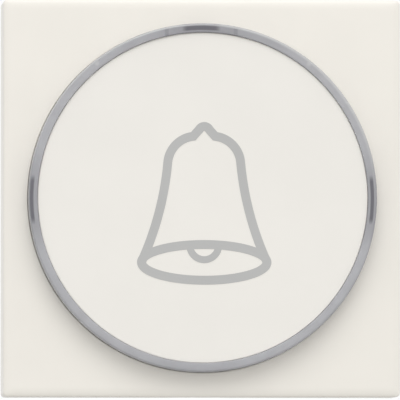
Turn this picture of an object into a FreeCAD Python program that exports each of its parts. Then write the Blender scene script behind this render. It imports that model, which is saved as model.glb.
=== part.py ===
import FreeCAD
import Part
import math
import os

# Flush doorbell push button for a wall or a door post.
#
# A square cover plate with a large round button in it. The button is a flat cap with a bell sign, seated in a
# clear ring that stands a little proud of the cap. Behind the plate is the push mechanism: a moulded cup that
# sits in a drilled hole, with a square flange that is screwed to the wall. The button is carried by a plunger
# that runs in a guide. At the end of its stroke a bridge on the plunger joins two fixed contacts, and a coil
# spring pushes it back. A board with four small lamps on the flange lights the clear ring from behind.
#
# Every piece is drawn as it lies on the bench, face up: x to the right, y up the wall, z out of the wall
# towards the visitor, with z = 0 on the wall. upright() turns the finished pieces to +Z up, facing -Y.

# Cover plate
plate_side = 45.0
plate_height = 8.0
plate_margin = 2.75
plate_wall = 1.4
plate_front_wall = 1.6
plate_edge_r = 0.5
cavity_corner_r = 0.5
rim_gap = 0.2
side_gap = 0.3
post_size = 1.3
pry_notch_width = 6.0
pry_notch_height = 1.2

# Snap between the plate's skirt and the flange's edge
snap_length = 14.0
snap_reach = 0.5
snap_bottom = 0.6
snap_notch_depth = 0.5
snap_lip = 0.7
snap_end_gap = 0.5

# Clear light ring
ring_gap = 0.15
ring_proud = 2.4
ring_band = 1.0
ring_ledge_depth = 2.5
ring_seat = 1.75
lug_width = 4.7
lug_height = 0.8
lug_rise = 0.5
lug_reach = 2.4
lug_gap = 0.1

# Cap and its bell sign
cap_gap = 0.1
cap_recess = 0.3
cap_wall = 1.4
cap_rim_wall = 1.3
tongue_width = 3.2
tongue_t = 1.4
tongue_circle_r = 11.0
tongue_gap = 0.05
sign_rise = 0.1
sign_shift = 0.15
sign_stroke = 1.0
clapper_stroke = 0.78
bell_size = 8.0

# Travel of the button
travel = 1.5
stop_gap = 0.05

# Plunger
head_t = 1.7
head_rise = 0.2
head_gap = 0.15
head_rib_t = 0.8
head_rib_count = 8
stem_gap = 0.1
stem_below_bridge = 2.0
key_width = 1.6
key_height = 0.8
key_gap = 0.1
spigot_height = 1.5
bridge_pocket_height = 4.0

# Lamp board on the flange
board_t = 0.8
board_width = 3.9
board_edge_gap = 1.3
board_tab_width = 4.0
board_tab_margin = 1.1
lamp_length = 2.8
lamp_width = 1.8
lamp_height = 0.7
lamp_spare = 0.1
stake_side = 1.2
stake_head = 0.3
chip_length = 3.2
chip_width = 1.6
chip_height = 0.6
rectifier_length = 4.4
rectifier_width = 2.6
pin_side = 0.64
pin_head_side = 1.4
pin_head_t = 0.3
pin_gap = 0.15

# Housing: a cup with a square flange
flange_t = 2.0
flange_corner_r = 1.5
cup_margin = 3.8
cup_wall = 2.0
cup_depth = 22.0
cup_floor = 2.0
wall_screw_margin = 4.5
wall_hole_r = 1.8
wall_sink_r = 3.3
wall_sink_depth = 1.0
rest_rib_t = 1.2
rest_rib_reach = 1.5

# Mechanism cover, which carries the guide
cover_t = 1.6
cover_gap = 0.1
cover_lug_width = 5.0
cover_lug_reach = 0.5
cover_lug_t = 0.8
cover_lug_gap = 0.05
guide_above_pocket = 1.4

# Plan sizes of the mechanism for a cup with a bore of radius drawn_bore_r. They follow the real bore.
drawn_bore_r = 15.0
drawn_stem_r = 4.5
drawn_spigot_side = 4.6
drawn_guide_side = 13.0
drawn_return_coil_r = 4.0
drawn_bridge_coil_r = 1.8
drawn_bridge_length = 24.0
drawn_bridge_width = 5.0
drawn_contact_x = 10.4
drawn_pin_x = 13.0
drawn_terminal_width = 5.8

# Contacts and springs
bridge_t = 0.8
bridge_gap = 0.1
bridge_corner = 1.0
tip_side = 2.8
tip_height = 0.6
strip_width = 5.0
strip_t = 0.8
strip_bend_r = 0.5
strip_toe = 2.5
strip_leg = 4.5
return_wire_r = 0.3
return_turns = 4.5
bridge_wire_r = 0.2
bridge_turns = 2.5
coil_steps = 12
coil_sides = 4

# Terminals
terminal_height = 6.05
terminal_depth = 6.0
terminal_edge = 0.3
drive_slot_width = 0.5
drive_slot_depth = 0.6
wire_r = 1.4
wire_depth = 5.4
wire_clear_r = 1.7
clamp_r = 1.25
clamp_length = 5.0
clamp_rise = 2.6
clamp_gap = 0.05
clamp_back_off = 0.15
driver_hole_r = 1.8
pocket_rib_t = 1.0
pocket_rib_height = 4.0
pocket_gap = 0.05

# Radii and half widths that follow from the sizes above
plate_half = plate_side / 2
cavity_half = plate_half - plate_wall
flange_half = cavity_half - side_gap
ring_r = plate_half - plate_margin
opening_r = ring_r + ring_gap
ring_flange_r = cavity_half - side_gap
lip_r = ring_r - ring_band
seat_r = lip_r - ring_seat
cap_r = lip_r - cap_gap
head_r = seat_r - head_gap
lug_r = seat_r + lug_reach
cup_r = flange_half - cup_margin
cup_bore_r = cup_r - cup_wall
cover_r = cup_bore_r - cover_gap
board_half = flange_half - board_edge_gap
board_inner_half = board_half - board_width
lamp_circle_r = (seat_r + ring_flange_r) / 2 - side_gap
stake_circle_r = (board_inner_half + board_half) / 2
wall_screw_x = flange_half - wall_screw_margin

# Plan sizes of the mechanism at the real bore
bore_scale = cup_bore_r / drawn_bore_r
stem_r = drawn_stem_r * bore_scale
guide_bore_r = stem_r + stem_gap
key_r = stem_r + key_height
spigot_side = drawn_spigot_side * bore_scale
guide_side = drawn_guide_side * bore_scale
return_coil_r = drawn_return_coil_r * bore_scale
bridge_coil_r = drawn_bridge_coil_r * bore_scale
bridge_length = drawn_bridge_length * bore_scale
bridge_width = drawn_bridge_width * bore_scale
contact_x = drawn_contact_x * bore_scale
pin_x = drawn_pin_x * bore_scale
terminal_width = drawn_terminal_width * bore_scale
board_tab_inner_r = pin_x - board_tab_margin

# Heights above the wall that follow from the sizes above
plate_inner_z = plate_height - plate_front_wall
lip_z = plate_height + ring_proud
ledge_z = lip_z - ring_ledge_depth
cap_z = lip_z - cap_recess
cap_inner_z = cap_z - cap_wall
board_z = flange_t + board_t
ring_bottom_z = board_z + lamp_height + lamp_spare + travel
lug_z = ring_bottom_z + lug_rise
head_z = ring_bottom_z + head_rise
head_top_z = head_z + head_t
guide_top_z = head_z - travel - stop_gap
cover_z = flange_t - cover_t
floor_z = cup_floor - cup_depth
clamp_z = floor_z + clamp_rise
terminal_top_z = floor_z + terminal_height
strip_top_z = terminal_top_z + strip_t
fixed_tip_z = strip_top_z + tip_height
moving_tip_z = fixed_tip_z + travel + stop_gap
bridge_z = moving_tip_z + tip_height
bridge_top_z = bridge_z + bridge_t
pocket_top_z = bridge_z + bridge_pocket_height
stem_bottom = bridge_z - stem_below_bridge
guide_bottom = pocket_top_z + guide_above_pocket


# Tools for drawing

def vec(x, y, z=0.0):
    return FreeCAD.Vector(x, y, z)


Z = vec(0, 0, 1)


def disc(radius, bottom, top, x=0.0, y=0.0):
    """A round bar along z."""
    return Part.makeCylinder(radius, top - bottom, vec(x, y, bottom))


def bar_y(radius, start, end, x, z):
    """A round bar along y."""
    return Part.makeCylinder(radius, end - start, vec(x, start, z), vec(0, 1, 0))


def block(x0, x1, y0, y1, z0, z1):
    return Part.makeBox(x1 - x0, y1 - y0, z1 - z0, vec(x0, y0, z0))


def post(side, bottom, top, x=0.0, y=0.0):
    """A square bar along z."""
    half = side / 2
    return block(x - half, x + half, y - half, y + half, bottom, top)


def octagon(half, bottom, top):
    """An eight-sided plate, measured across its flat sides."""
    corner_r = half / math.cos(math.pi / 8)
    angles = [math.pi / 8 + i * math.pi / 4 for i in range(8)]
    outline = polygon([vec(corner_r * math.cos(a), corner_r * math.sin(a), bottom) for a in angles])
    return outline.extrude(vec(0, 0, top - bottom))


def upright_edges(shape):
    return [e for e in shape.Edges if abs(e.tangentAt(e.FirstParameter).z) > 0.9]


def slab(half, corner_r, bottom, top):
    """A square plate with rounded corners, centred on the z axis."""
    square = block(-half, half, -half, half, bottom, top)
    return square.makeFillet(corner_r, upright_edges(square))


def polygon(points):
    """A flat face through points given as vectors."""
    return Part.Face(Part.makePolygon(points + points[:1]))


def turned(outline):
    """A full turn about z of an outline given as (radius, height) pairs."""
    return polygon([vec(r, 0, z) for r, z in outline]).revolve(vec(0, 0, 0), Z, 360)


def edges_at(shape, height):
    """The edges that lie level at one height."""
    return [e for e in shape.Edges if all(abs(v.Z - height) < 1e-6 for v in e.Vertexes)]


def around(shape, offset=0.0, count=4):
    """Copies of a shape, spaced evenly round the z axis."""
    copies = []
    for i in range(count):
        copy = shape.copy()
        copy.rotate(vec(0, 0, 0), Z, offset + i * 360.0 / count)
        copies.append(copy)
    return copies


def joined(shapes):
    return shapes[0].fuse(shapes[1:]).removeSplitter()


def coil(wire_r, coil_r, bottom, top, turns):
    """A spring whose wire touches bottom and top, made of short straight lengths of square wire."""
    steps = round(turns * coil_steps)
    rise = (top - bottom - 2 * wire_r) / steps
    sections = []
    for i in range(steps + 1):
        turn = 2 * math.pi * i / coil_steps
        section = []
        for k in range(coil_sides):
            side = 2 * math.pi * k / coil_sides - math.pi / 2
            r = coil_r + wire_r * math.cos(side)
            height = bottom + wire_r + i * rise + wire_r * math.sin(side)
            section.append(vec(r * math.cos(turn), r * math.sin(turn), height))
        sections.append(section)
    faces = [polygon(sections[0]), polygon(sections[-1])]
    for here, there in zip(sections, sections[1:]):
        for k in range(coil_sides):
            after = (k + 1) % coil_sides
            faces.append(polygon([here[k], here[after], there[k]]))
            faces.append(polygon([here[after], there[after], there[k]]))
    spring = Part.makeSolid(Part.makeShell(faces))
    if spring.Volume < 0:
        spring.reverse()
    return spring


def stroke(edges, width):
    """A line of the given width, drawn along edges that join end to end."""
    return Part.Wire(edges).makeOffset2D(width / 2, 0, True, False, False)


def arc(a, b, c):
    return Part.Arc(a, b, c).toShape()


# Front of the button

def front_plate():
    """Square moulded shell, snapped on to the flange, with the round opening for the button."""
    shell = block(-plate_half, plate_half, -plate_half, plate_half, rim_gap, plate_height)
    front_edges = edges_at(shell, plate_height)
    shell = shell.makeFillet(plate_edge_r, front_edges + upright_edges(shell))
    shell = shell.cut(slab(cavity_half, cavity_corner_r, rim_gap, plate_inner_z))
    shell = shell.cut(disc(opening_r, plate_inner_z, plate_height))

    lip_under = flange_t - snap_lip
    ridge = polygon([
        vec(cavity_half, -snap_length / 2, snap_bottom),
        vec(cavity_half - snap_reach, -snap_length / 2, (snap_bottom + lip_under) / 2),
        vec(cavity_half - snap_reach, -snap_length / 2, lip_under),
        vec(cavity_half, -snap_length / 2, lip_under),
    ]).extrude(vec(0, snap_length, 0))
    corner = cavity_half - post_size / 2
    corner_post = post(post_size, flange_t, plate_inner_z, corner, corner)
    shell = joined([shell] + around(ridge) + around(corner_post))

    notch = block(-pry_notch_width / 2, pry_notch_width / 2, -plate_half, -cavity_half - snap_reach / 2,
                  rim_gap, rim_gap + pry_notch_height)
    return shell.cut(notch)


def light_ring():
    """Clear ring round the cap. The plate holds its foot back, and the plunger's lugs snap into it."""
    ring = turned([
        (lip_r, lip_z), (ring_r, lip_z), (ring_r, plate_inner_z), (ring_flange_r, plate_inner_z),
        (ring_flange_r, ring_bottom_z), (seat_r, ring_bottom_z), (seat_r, ledge_z), (lip_r, ledge_z),
    ])
    pocket_r = lug_r + lug_gap
    pocket = block(0, pocket_r, -lug_width / 2 - lug_gap, lug_width / 2 + lug_gap,
                   lug_z - lug_gap, lug_z + lug_height + lug_gap)
    pocket = pocket.common(disc(pocket_r, ring_bottom_z, ledge_z))
    for one in around(pocket):
        ring = ring.cut(one)
    return ring


def on_bell(x, y):
    """A point of the sign, as shares of the bell's size from the middle of the cap."""
    return vec(x, y) * bell_size


def bell_outline():
    """The bell sign as flat faces: body, mouth and clapper, drawn with lines of even width."""
    waist = arc(on_bell(0.515, 0.5125), on_bell(0.599, -0.0375), on_bell(0.881, -0.894))
    shoulder = arc(on_bell(0.515, 0.5125), on_bell(0.3975, 0.7525), on_bell(0.155, 0.869))
    knob_side = Part.LineSegment(on_bell(0.155, 0.869), on_bell(0.07, 0.965)).toShape()
    knob_top = arc(on_bell(0.07, 0.965), on_bell(0, 1.0075), on_bell(-0.07, 0.965))
    right_side = [waist, shoulder, knob_side]
    left_side = [edge.mirror(vec(0, 0, 0), vec(1, 0, 0)) for edge in reversed(right_side)]
    body = stroke(Part.__sortEdges__(right_side + [knob_top] + left_side), sign_stroke)

    mouth_centre = on_bell(0, -0.915)
    mouth_half_width = 0.889 * bell_size
    mouth_half_height = 0.2525 * bell_size
    half = sign_stroke / 2
    outer = Part.Ellipse(mouth_centre, mouth_half_width + half, mouth_half_height + half).toShape()
    inner = Part.Ellipse(mouth_centre, mouth_half_width - half, mouth_half_height - half).toShape()
    mouth_outer = Part.Face(Part.Wire(outer))
    mouth = mouth_outer.cut(Part.Face(Part.Wire(inner)))

    mouth_hole_top = mouth_centre.y + mouth_half_height - half
    clapper_r = 0.205 * bell_size
    clapper_centre_y = mouth_hole_top + 0.0525 * bell_size
    clapper = stroke([arc(vec(-clapper_r, clapper_centre_y), vec(0, clapper_centre_y - clapper_r),
                          vec(clapper_r, clapper_centre_y))], clapper_stroke)
    clapper = clapper.common(mouth_outer)
    return [body, mouth, clapper]


def bell_symbol():
    """The sign stands a hair above the cap's face."""
    sign = joined([face.extrude(vec(0, 0, sign_rise)) for face in bell_outline()])
    sign.translate(vec(sign_shift, 0, cap_z))
    return sign


def tongue(gap, bottom, top):
    """One of the cap's four tongues, or with a gap the hole that it plugs into."""
    thick = tongue_t / 2 + gap
    wide = tongue_width / 2 + gap
    return block(tongue_circle_r - thick, tongue_circle_r + thick, -wide, wide, bottom, top)


def button_cap():
    """Flat cap that rests on the ring's ledge and is plugged into the plunger."""
    cap = disc(cap_r, ledge_z, cap_z)
    cap = cap.cut(disc(cap_r - cap_rim_wall, ledge_z, cap_inner_z))
    return joined([cap] + around(tongue(0, head_z, cap_inner_z), 45))


# Moving parts behind the button

def plunger():
    """Round head with four lugs and ribs, on a keyed stem with a pocket for the contact bridge."""
    head = disc(head_r, head_z, head_top_z)
    lug = block(0, lug_r, -lug_width / 2, lug_width / 2, lug_z, lug_z + lug_height)
    lug = lug.common(disc(lug_r, head_z, head_top_z))
    rib = block(0, head_r - head_rib_t, -head_rib_t / 2, head_rib_t / 2, head_z, cap_inner_z)
    ribs = around(rib, 180.0 / head_rib_count, head_rib_count)
    stem = disc(stem_r, stem_bottom, head_z)
    key = block(-key_width / 2, key_width / 2, 0, key_r, guide_bottom, head_z)
    spigot = post(spigot_side, stem_bottom - spigot_height, stem_bottom)
    body = joined([head, stem, key, spigot] + around(lug) + ribs)

    for hole in around(tongue(tongue_gap, head_z, head_top_z), 45):
        body = body.cut(hole)
    pocket_half = bridge_width / 2 + bridge_gap
    return body.cut(block(-stem_r, stem_r, -pocket_half, pocket_half, bridge_z, pocket_top_z))


def contact_bridge():
    """Flat copper bar with cut corners, lying on the floor of the plunger's pocket."""
    bar = block(-bridge_length / 2, bridge_length / 2, -bridge_width / 2, bridge_width / 2,
                bridge_z, bridge_top_z)
    return bar.makeChamfer(bridge_corner, upright_edges(bar))


def contact_tip(x, bottom):
    """Square silver contact tip, welded on."""
    return post(tip_side, bottom, bottom + tip_height, x)


def bridge_tips():
    return Part.makeCompound([contact_tip(x, moving_tip_z) for x in (-contact_x, contact_x)])


# Housing and mechanism

def housing():
    """Cup for the mechanism with the square flange that is screwed to the wall."""
    flange = slab(flange_half, flange_corner_r, 0, flange_t)
    notch_half = snap_length / 2 + snap_end_gap
    notch = block(flange_half - snap_notch_depth, flange_half, -notch_half, notch_half,
                  0, flange_t - snap_lip)
    for one in around(notch):
        flange = flange.cut(one)

    cup = disc(cup_r, -cup_depth, 0)
    cup = joined([cup, flange])
    cup = cup.cut(disc(cup_bore_r, floor_z, flange_t))
    for pocket in cover_lugs(cover_lug_gap):
        cup = cup.cut(pocket)

    rest_rib = block(cup_bore_r - rest_rib_reach, (cup_bore_r + cup_r) / 2, -rest_rib_t / 2, rest_rib_t / 2,
                     floor_z, cover_z)
    inside = around(rest_rib, 45)
    inside += terminal_pocket(-1) + terminal_pocket(1)
    inside.append(post(spigot_side, floor_z, floor_z + spigot_height))
    inside += around(post(stake_side, flange_t, board_z + stake_head, stake_circle_r))
    cup = joined([cup] + inside)

    for side in (-1, 1):
        x = side * contact_x
        cup = cup.cut(disc(wire_clear_r, -cup_depth, floor_z, x))
        cup = cup.cut(bar_y(driver_hole_r, -cup_r, -terminal_depth, x, clamp_z))
    for hole in around(disc(wall_hole_r, 0, flange_t, wall_screw_x, wall_screw_x)):
        cup = cup.cut(hole)
    sink_z = flange_t - wall_sink_depth
    for sink in around(disc(wall_sink_r, sink_z, flange_t, wall_screw_x, wall_screw_x)):
        cup = cup.cut(sink)
    return cup


def terminal_pocket(side):
    """Two ribs on the cup's floor that hold a terminal block from inside and from above."""
    inner = contact_x - terminal_width / 2 - pocket_gap
    outer = contact_x + terminal_width / 2
    back = terminal_depth / 2 + pocket_gap
    top = floor_z + pocket_rib_height
    beside = sorted((side * (inner - pocket_rib_t), side * inner))
    behind = sorted((side * (inner - pocket_rib_t), side * outer))
    return [block(*beside, -terminal_depth / 2, back, floor_z, top),
            block(*behind, back, back + pocket_rib_t, floor_z, top)]


def cover_lugs(gap):
    """The cover's four snap lugs, or with a gap the pockets that they snap into."""
    half = cover_lug_width / 2 + gap
    reach = cup_bore_r + cover_lug_reach + gap
    lug = block(cup_bore_r - cover_lug_reach, reach, -half, half, cover_z - gap, cover_z + cover_lug_t + gap)
    return around(lug)


def mechanism_cover():
    """Disc that snaps into the cup's mouth, with the long square guide for the plunger's stem."""
    plate = disc(cover_r, cover_z, flange_t)
    guide = post(guide_side, guide_bottom, guide_top_z)
    body = joined([plate, guide] + cover_lugs(0))
    body = body.cut(disc(guide_bore_r, guide_bottom, guide_top_z))
    half_key = key_width / 2 + key_gap
    body = body.cut(block(-half_key, half_key, 0, key_r + key_gap, guide_bottom, guide_top_z))
    for side in (-1, 1):
        body = body.cut(post(pin_side + 2 * pin_gap, cover_z, flange_t, side * pin_x))
    return body


# Contacts and terminals, one set on each side

def fixed_contact(side):
    """Brass strip bent over the terminal block: a tongue under the bridge and a leg down the block's side."""
    inner = contact_x - strip_toe
    outer = contact_x + terminal_width / 2 + strip_t
    leg_bottom = strip_top_z - strip_t - strip_leg
    profile = [(inner, strip_top_z), (outer, strip_top_z), (outer, leg_bottom), (outer - strip_t, leg_bottom),
               (outer - strip_t, terminal_top_z), (inner, terminal_top_z)]
    strip = polygon([vec(side * x, -strip_width / 2, z) for x, z in profile]).extrude(vec(0, strip_width, 0))
    bend = [e for e in strip.Edges
            if all(abs(v.X - side * outer) < 1e-6 and abs(v.Z - strip_top_z) < 1e-6 for v in e.Vertexes)]
    return strip.makeFillet(strip_bend_r, bend)


def fixed_tip(side):
    return contact_tip(side * contact_x, strip_top_z)


def terminal(side):
    """Brass block, bored from behind for the wire and from below for its clamp screw."""
    x = side * contact_x
    half = terminal_width / 2
    body = block(x - half, x + half, -terminal_depth / 2, terminal_depth / 2, floor_z, terminal_top_z)
    body = body.makeChamfer(terminal_edge, upright_edges(body))
    body = body.cut(disc(wire_r, floor_z, floor_z + wire_depth, x))
    return body.cut(bar_y(clamp_r + clamp_gap, -terminal_depth / 2, 0, x, clamp_z))


def clamp_screw(side):
    """Slotted grub screw, backed off so that the wire's bore is free."""
    x = side * contact_x
    tip_y = -wire_r - clamp_back_off
    end_y = tip_y - clamp_length
    screw = bar_y(clamp_r, end_y, tip_y, x, clamp_z)
    half = drive_slot_width / 2
    return screw.cut(block(x - clamp_r, x + clamp_r, end_y, end_y + drive_slot_depth,
                           clamp_z - half, clamp_z + half))


# Lamps that light the ring

def led_board():
    """Eight-sided circuit board on the flange, open in the middle, with a tab each side for the feed pins."""
    board = octagon(board_half, flange_t, board_z).cut(octagon(board_inner_half, flange_t, board_z))
    tab = block(board_tab_inner_r, board_inner_half + board_t, -board_tab_width / 2, board_tab_width / 2,
                flange_t, board_z)
    board = joined([board] + around(tab, 0, 2))
    for hole in around(post(stake_side, flange_t, board_z, stake_circle_r)):
        board = board.cut(hole)
    for hole in around(post(pin_side, flange_t, board_z, pin_x), 0, 2):
        board = board.cut(hole)
    return board


def on_board(length, width, height, angle):
    """A component lying along the board at an angle round the z axis."""
    part = block(lamp_circle_r - width / 2, lamp_circle_r + width / 2, -length / 2, length / 2,
                 board_z, board_z + height)
    part.rotate(vec(0, 0, 0), Z, angle)
    return part


def led_pin(side):
    """Feed pin from the board down to the fixed contact's strip."""
    pin = post(pin_side, strip_top_z, board_z, side * pin_x)
    head = post(pin_head_side, board_z, board_z + pin_head_t, side * pin_x)
    return joined([pin, head])


# The whole push button

def upright(shape):
    """From the bench to the wall: +Z up, face towards -Y."""
    turned_up = shape.copy()
    turned_up.rotate(vec(0, 0, 0), vec(1, 0, 0), 90)
    return turned_up


def pieces():
    made = {
        "front_plate": front_plate(),
        "light_ring": light_ring(),
        "bell_symbol": bell_symbol(),
        "button_cap": button_cap(),
        "plunger": plunger(),
        "contact_bridge": contact_bridge(),
        "bridge_tips": bridge_tips(),
        "bridge_spring": coil(bridge_wire_r, bridge_coil_r, bridge_top_z, pocket_top_z, bridge_turns),
        "return_spring": coil(return_wire_r, return_coil_r, floor_z, stem_bottom, return_turns),
        "housing": housing(),
        "mechanism_cover": mechanism_cover(),
        "led_board": led_board(),
        "rectifier": on_board(rectifier_length, rectifier_width, lamp_height, 248),
    }
    for name, side in (("left", -1), ("right", 1)):
        made[f"fixed_contact_{name}"] = fixed_contact(side)
        made[f"fixed_tip_{name}"] = fixed_tip(side)
        made[f"terminal_{name}"] = terminal(side)
        made[f"clamp_screw_{name}"] = clamp_screw(side)
        made[f"led_pin_{name}"] = led_pin(side)
    for i in range(4):
        made[f"led_{i + 1}"] = on_board(lamp_length, lamp_width, lamp_height, 45 + 90 * i)
    for i, angle in enumerate((65, 115)):
        made[f"resistor_{i + 1}"] = on_board(chip_length, chip_width, chip_height, angle)
    return made


def main():
    os.makedirs("parts", exist_ok=True)
    for name, shape in pieces().items():
        upright(shape).exportStep(f"parts/{name}.step")


main()
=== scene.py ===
# %% [markdown]
# # A doorbell push button
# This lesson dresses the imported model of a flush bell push: a square cover plate, a big round cap in a
# clear ring, and the round body that disappears in the wall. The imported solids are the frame. A piece whose
# solid is already right keeps it and only gets a finish; a piece that needs finer curves is built again in
# its place.

# %% Load the frame
from math import atan2, cos, pi, radians, sin, tan

import bmesh
import bpy
from mathutils import Matrix, Vector


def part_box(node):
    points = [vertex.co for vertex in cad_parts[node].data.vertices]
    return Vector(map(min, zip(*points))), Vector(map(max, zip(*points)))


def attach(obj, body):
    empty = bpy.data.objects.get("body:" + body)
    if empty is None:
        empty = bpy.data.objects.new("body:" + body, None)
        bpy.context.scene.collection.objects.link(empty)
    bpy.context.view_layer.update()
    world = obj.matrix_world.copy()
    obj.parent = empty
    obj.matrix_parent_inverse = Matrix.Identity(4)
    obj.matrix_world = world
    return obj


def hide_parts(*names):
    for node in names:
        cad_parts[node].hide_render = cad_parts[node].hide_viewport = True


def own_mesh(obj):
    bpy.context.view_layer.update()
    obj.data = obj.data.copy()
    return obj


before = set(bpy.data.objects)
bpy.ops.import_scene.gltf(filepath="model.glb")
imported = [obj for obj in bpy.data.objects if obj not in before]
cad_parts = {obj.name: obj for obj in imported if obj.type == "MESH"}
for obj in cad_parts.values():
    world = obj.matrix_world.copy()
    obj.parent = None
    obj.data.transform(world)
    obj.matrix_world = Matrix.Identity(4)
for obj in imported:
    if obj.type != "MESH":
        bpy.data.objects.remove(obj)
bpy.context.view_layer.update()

# %% [markdown]
# ## One bench for every piece
# The button hangs on a wall and faces -Y, which is awkward to think in. Every piece is drawn as it would
# lie on a bench, face up: x to the right, y up the wall, z out of the wall, in millimetres, with z = 0 on
# the wall. One matrix then turns it upright and makes it metres. It is applied to the mesh, so the object
# stays at the origin.

# %% From the bench to the wall
UPRIGHT = Matrix.Rotation(pi / 2, 4, "X") @ Matrix.Scale(0.001, 4)


def placed(name, data):
    """A new object in the scene."""
    thing = bpy.data.objects.new(name, data)
    bpy.context.scene.collection.objects.link(thing)
    return thing


def shown(name, mesh, material, body, replaced=(), crisp_over=32):
    """Stands a mesh on the wall and puts it in the scene as one piece of the button."""
    mesh = upright(mesh, crisp_over)
    piece = placed(name, mesh)
    mesh.materials.clear()
    mesh.materials.append(material)
    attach(piece, body)
    if replaced:
        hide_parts(*replaced)
    print(f"{name}: {len(mesh.polygons)} faces")
    return piece


# %% [markdown]
# ## Solids from loops
# Moulded plastic is a skin of even wall swept round an outline. A list of closed loops with the same number
# of points, joined by quads, makes every such form: a turned ring, a flat cap, or a square shell with a
# round opening. The loops of a square and of a circle share their rays, so the quads run straight between
# them.

# %% Loops and lofts
STATIONS, CORNER_STEPS = 45, 8  # points along a straight side, steps round its corner
REACH = radians(44)  # how far a side's rays turn to each hand, short of the corner
SAME_POINT, STRAY_POINT = 1e-5, 1e-4


def square_loop(half, corner, height):
    """Points round a square with rounded corners."""
    flat = half - corner
    shares = [2 * i / (STATIONS - 1) - 1 for i in range(STATIONS)]
    quarter = [(half, flat * tan(REACH * share) / tan(REACH)) for share in shares]
    for i in range(1, CORNER_STEPS):
        a = pi / 2 * i / CORNER_STEPS
        quarter.append((flat + corner * cos(a), flat + corner * sin(a)))
    loop = []
    for turn in ((1, 0), (0, 1), (-1, 0), (0, -1)):
        loop += [(x * turn[0] - y * turn[1], x * turn[1] + y * turn[0], height) for x, y in quarter]
    return loop


RAYS = [atan2(y, x) for x, y, _ in square_loop(1.0, 0.03, 0.0)]


def round_loop(radius, height):
    return [(radius * cos(a), radius * sin(a), height) for a in RAYS]


def bend(start, end, centre, steps=6):
    """Points on a quarter of an ellipse round a centre, from start to end, all (across, height) pairs."""
    points = []
    for i in range(steps + 1):
        a = pi / 2 * i / steps
        points.append(tuple(c + (s - c) * cos(a) + (e - c) * sin(a) for s, e, c in zip(start, end, centre)))
    return points


def loft(loops, closed):
    """A mesh from loops: closed joins the last loop to the first, open caps both ends."""
    bm = bmesh.new()
    rows = [[bm.verts.new(p) for p in loop] for loop in loops]
    pairs = list(zip(rows, rows[1:]))
    if closed:
        pairs.append((rows[-1], rows[0]))
    else:
        bm.faces.new(rows[0])
        bm.faces.new(rows[-1])
    for a, b in pairs:
        for i in range(len(a)):
            j = (i + 1) % len(a)
            bm.faces.new((a[i], a[j], b[j], b[i]))
    bmesh.ops.remove_doubles(bm, verts=bm.verts, dist=SAME_POINT)
    bmesh.ops.recalc_face_normals(bm, faces=bm.faces)
    mesh = bpy.data.meshes.new("solid")
    bm.to_mesh(mesh)
    bm.free()
    return mesh


def turned(profile, closed=False, rays=None):
    """A turned solid from (radius, height) pairs."""
    rays = rays or RAYS
    return loft([[(r * cos(a), r * sin(a), z) for a in rays] for r, z in profile], closed)


def even_rays(count):
    return [2 * pi * i / count for i in range(count)]


def rounded(points):
    """Rounds a closed outline of (across, height, radius): each corner becomes an arc."""
    outline = []
    for i, (x, y, radius) in enumerate(points):
        here = Vector((x, y))
        before = (Vector(points[i - 1][:2]) - here).normalized()
        after = (Vector(points[(i + 1) % len(points)][:2]) - here).normalized()
        if radius <= 0:
            outline.append((x, y))
            continue
        start, end = here + before * radius, here + after * radius
        outline += bend(start, end, start + end - here)
    return outline


def block(x0, x1, y0, y1, z0, z1):
    return loft([[(x0, y0, z), (x1, y0, z), (x1, y1, z), (x0, y1, z)] for z in (z0, z1)], False)


def bar(radius, start, end, count=48):
    """A round bar from one point to another."""
    start, end = Vector(start), Vector(end)
    mesh = turned([(radius, 0), (radius, (end - start).length)], rays=even_rays(count))
    turn = Vector((0, 0, 1)).rotation_difference(end - start).to_matrix().to_4x4()
    mesh.transform(Matrix.Translation(start) @ turn)
    return mesh


def moved(mesh, *by):
    mesh.transform(Matrix.Translation(by))
    return mesh


def round_the_axis(mesh, offset=0.0):
    """Four copies of a mesh, a quarter turn apart round the z axis."""
    copies = []
    for i in range(4):
        copy = mesh.copy()
        copy.transform(Matrix.Rotation(radians(offset) + pi / 2 * i, 4, "Z"))
        copies.append(copy)
    return copies


# %% [markdown]
# ## Cutting and joining
# Holes, slots and ribs are easier to cut than to weave into the loops. Blender's exact boolean does it. A
# modifier works on whole objects, so the meshes are lent to short-lived objects and the result is kept. A
# second modifier shades each piece at the end: wide faces keep their own normals, so a flat stays flat
# right up to its rounded edge.

# %% Booleans on meshes
def modified(mesh, kind, settings):
    """A mesh after one modifier."""
    work = placed("work", mesh)
    modifier = work.modifiers.new("work", kind)
    for name, setting in settings.items():
        setattr(modifier, name, setting)
    mesh = bpy.data.meshes.new_from_object(work.evaluated_get(bpy.context.evaluated_depsgraph_get()))
    bpy.data.objects.remove(work)
    return mesh


def merged(meshes):
    """Several meshes as one, without joining their skins."""
    bm = bmesh.new()
    for mesh in meshes:
        bm.from_mesh(mesh)
    result = bpy.data.meshes.new("solid")
    bm.to_mesh(result)
    bm.free()
    return result


def boolean(mesh, tools, operation):
    """Cuts the tools from a mesh, or joins them to it, one after another."""
    for tool in tools:
        other = placed("tool", tool)
        mesh = modified(mesh, "BOOLEAN", {"object": other, "operation": operation, "solver": "EXACT"})
        bpy.data.objects.remove(other)
    return mesh


def cut(mesh, tools):
    return boolean(mesh, tools, "DIFFERENCE")


def join(mesh, tools):
    return boolean(mesh, tools, "UNION")


def upright(mesh, crisp_over):
    """The last step of every piece: merge stray points, stand it on the wall, and shade it smooth, with
    edges sharper than crisp_over degrees left crisp."""
    bm = bmesh.new()
    bm.from_mesh(mesh)
    bmesh.ops.remove_doubles(bm, verts=bm.verts, dist=STRAY_POINT)
    bmesh.ops.dissolve_degenerate(bm, edges=bm.edges, dist=STRAY_POINT)
    bm.to_mesh(mesh)
    bm.free()
    mesh.transform(UPRIGHT)
    mesh.shade_smooth()
    mesh.set_sharp_from_angle(angle=radians(crisp_over))
    return modified(mesh, "WEIGHTED_NORMAL", {"mode": "FACE_AREA", "keep_sharp": True})


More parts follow.
